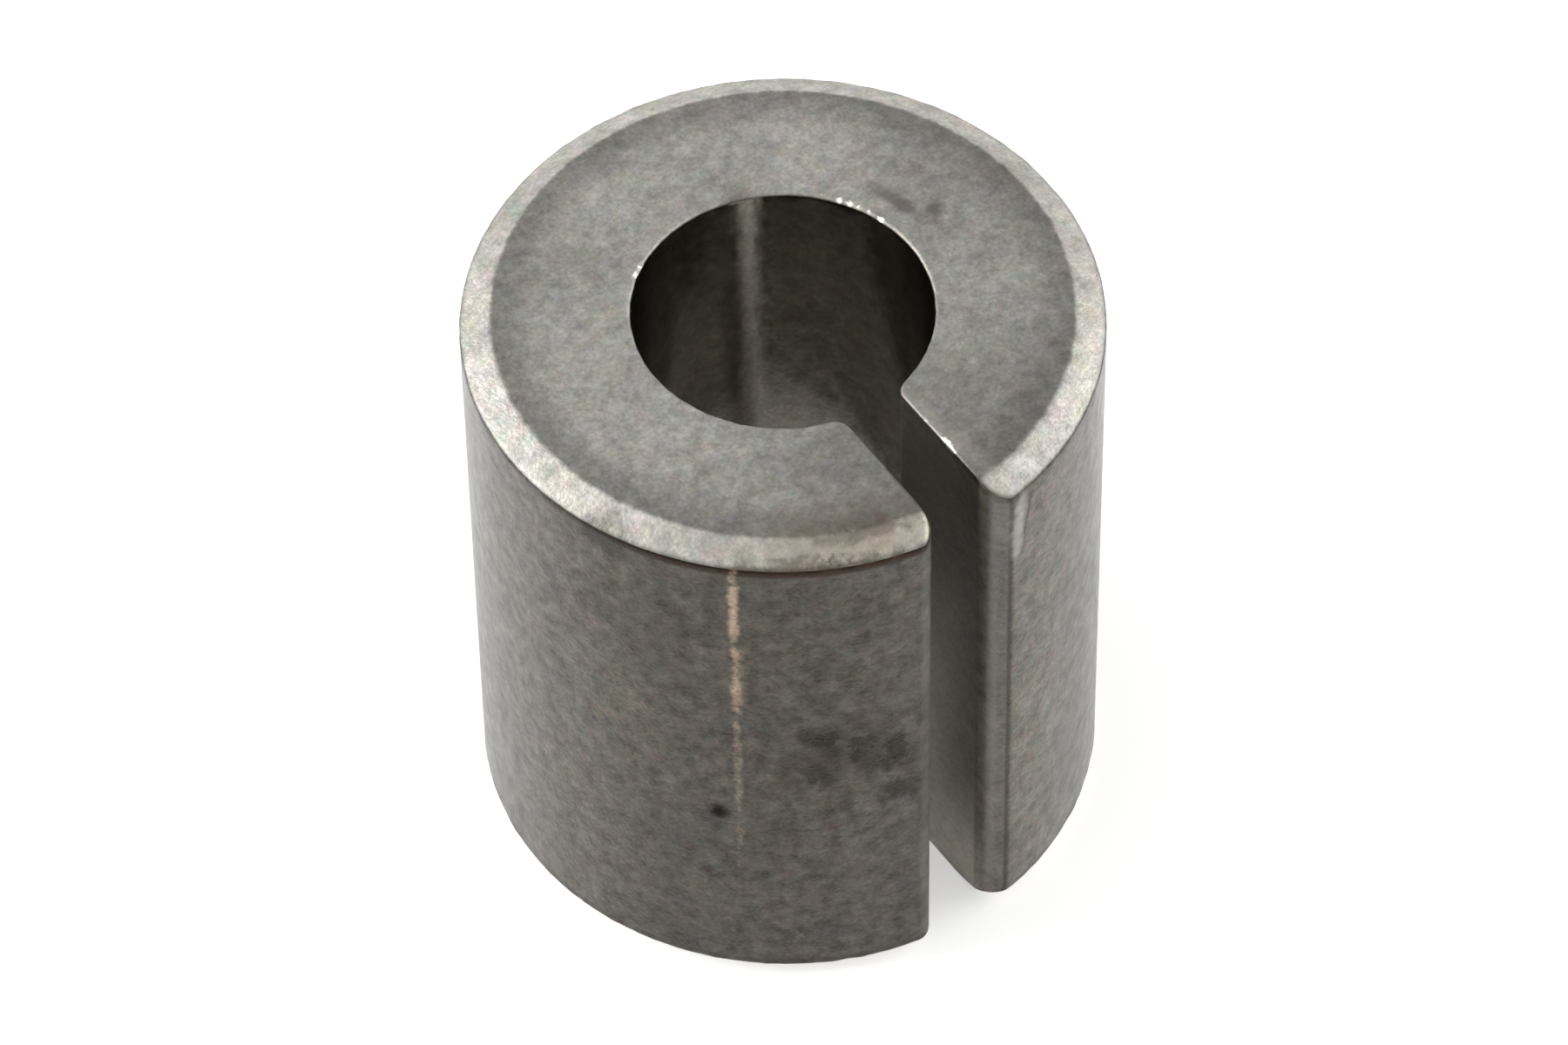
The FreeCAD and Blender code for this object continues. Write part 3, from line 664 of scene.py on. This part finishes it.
def makeStudio():
    world = bpy.data.worlds.new("surround")
    bpy.context.scene.world = world
    world.use_nodes = True
    tree = world.node_tree
    tree.nodes.clear()
    strength = addNode(tree, "ShaderNodeMapRange", whiteForView(tree), 0.0, 1.0, studio["ambient"], 1.0)
    light = addNode(tree, "ShaderNodeBackground", (1, 1, 1, 1), strength)
    addNode(tree, "ShaderNodeOutputWorld", light)

    paper = bpy.data.materials.new("whiteCard")
    paper.use_nodes = True
    tree = paper.node_tree
    tree.nodes.clear()
    dull = addNode(tree, "ShaderNodeBsdfDiffuse", hexColour(studio["floorColour"]))
    glow = addNode(tree, "ShaderNodeMath", whiteForView(tree), studio["floorGlow"], operation="MULTIPLY")
    glow = addNode(tree, "ShaderNodeEmission", (1, 1, 1, 1), glow)
    card = addNode(tree, "ShaderNodeAddShader", dull, glow)
    addNode(tree, "ShaderNodeOutputMaterial", card)
    half = studio["floorSize"] / 2
    mesh = bpy.data.meshes.new("floor")
    corners = [(-half, -half, 0), (half, -half, 0), (half, half, 0), (-half, half, 0)]
    mesh.from_pydata(corners, [], [(0, 1, 2, 3)])
    mesh.materials.append(paper)
    floor = bpy.data.objects.new("floor", mesh)
    bpy.context.scene.collection.objects.link(floor)

    for lamp in studio["lamps"]:
        data = bpy.data.lights.new(lamp["name"], "AREA")
        data.shape = "SQUARE"
        data.size = lamp["size"]
        data.energy = lamp["power"]
        shone = bpy.data.objects.new(lamp["name"], data)
        aim = Vector(studio["lampAim"]) - Vector(lamp["at"])
        turn = aim.to_track_quat("-Z", "Y").to_matrix().to_4x4()
        shone.matrix_world = Matrix.Translation(lamp["at"]) @ turn
        bpy.context.scene.collection.objects.link(shone)
    print("studio lit")


# The photograph's viewing angle, measured from the ring's own outlines.

view = {
    "azimuth": -34.06,           # degrees, from straight in front of the slit
    "elevation": 51.19,
    "roll": -0.95,
    "distance": 222.9,           # mm, from the aim
    "aimHeight": 9.07,           # mm above the floor, on the ring's axis
    "aimAside": -0.06,           # mm to the camera's right
    "lens": 189.2,               # mm, on a 36 mm wide frame
}


def makeCamera():
    azimuth, elevation, roll = (math.radians(view[k]) for k in ("azimuth", "elevation", "roll"))
    back = Vector((math.sin(azimuth) * math.cos(elevation), -math.cos(azimuth) * math.cos(elevation),
                   math.sin(elevation)))
    right = Vector((math.cos(azimuth), math.sin(azimuth), 0))
    up = back.cross(right)
    aim = right * view["aimAside"] + Vector((0, 0, view["aimHeight"]))
    rolledRight = math.cos(roll) * right + math.sin(roll) * up
    rolledUp = math.cos(roll) * up - math.sin(roll) * right
    data = bpy.data.cameras.new("camera")
    data.lens = view["lens"]
    data.sensor_width = 36
    data.clip_start = 0.01
    camera = bpy.data.objects.new("camera", data)
    turn = Matrix((rolledRight, rolledUp, back)).transposed().to_4x4()
    camera.matrix_world = Matrix.Translation((aim + back * view["distance"]) * mm) @ turn
    bpy.context.scene.collection.objects.link(camera)
    bpy.context.scene.camera = camera


makeStudio()
makeCamera()
bpy.context.scene.view_settings.view_transform = "Standard"
